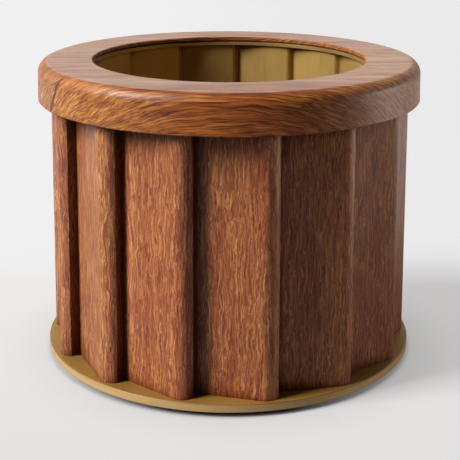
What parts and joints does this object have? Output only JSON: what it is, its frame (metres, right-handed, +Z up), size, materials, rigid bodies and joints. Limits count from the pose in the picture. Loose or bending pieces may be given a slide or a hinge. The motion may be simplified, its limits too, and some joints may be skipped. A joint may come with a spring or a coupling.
{
  "type": "round planter",
  "caption": "Round free-standing planter with a pleated wall of wooden staves, a thick rounded wooden rim ring, a lift-out pleated brass liner and a brass base disc on a set-back foot.",
  "frame": {"origin": "centre of the foot's underside, on the surface that the planter stands on", "axes": "+Z up along the round axis; the picture looks along +Y with +X to the right"},
  "size_m": [0.3016, 0.3016, 0.2392],
  "materials": {
    "rim_wood": "satin oiled hardwood, grain across the ring",
    "stave_wood": "satin oiled hardwood, upright grain",
    "spline_wood": "plain sawn hardwood",
    "liner_brass": "satin brass",
    "hoop_brass": "satin brass",
    "plate_brass": "satin brass",
    "foot_rubber": "matt black rubber",
    "screw_steel": "zinc-plated"
  },
  "bodies": {
    "shell": {"base_plate": "plate_brass", "foot_ring": "foot_rubber", "base_screws": "screw_steel", "stave_splines": "spline_wood", "stave_01": "stave_wood", "stave_02": "stave_wood", "stave_03": "stave_wood", "stave_04": "stave_wood", "stave_05": "stave_wood", "stave_06": "stave_wood", "stave_07": "stave_wood", "stave_08": "stave_wood", "stave_09": "stave_wood", "stave_10": "stave_wood", "stave_11": "stave_wood", "stave_12": "stave_wood", "stave_13": "stave_wood", "stave_14": "stave_wood"},
    "liner": {"liner_wall": "liner_brass", "liner_floor": "liner_brass", "liner_hoop": "hoop_brass"},
    "rim": {"rim_ring": "rim_wood"}
  },
  "joints": [
    {"name": "liner_lift", "type": "slide", "parent": "shell", "child": "liner", "axis": [0, 0, 1], "range_m": [0, 0.23]},
    {"name": "rim_lift", "type": "slide", "parent": "liner", "child": "rim", "axis": [0, 0, 1], "range_m": [0, 0.04]}
  ]
}
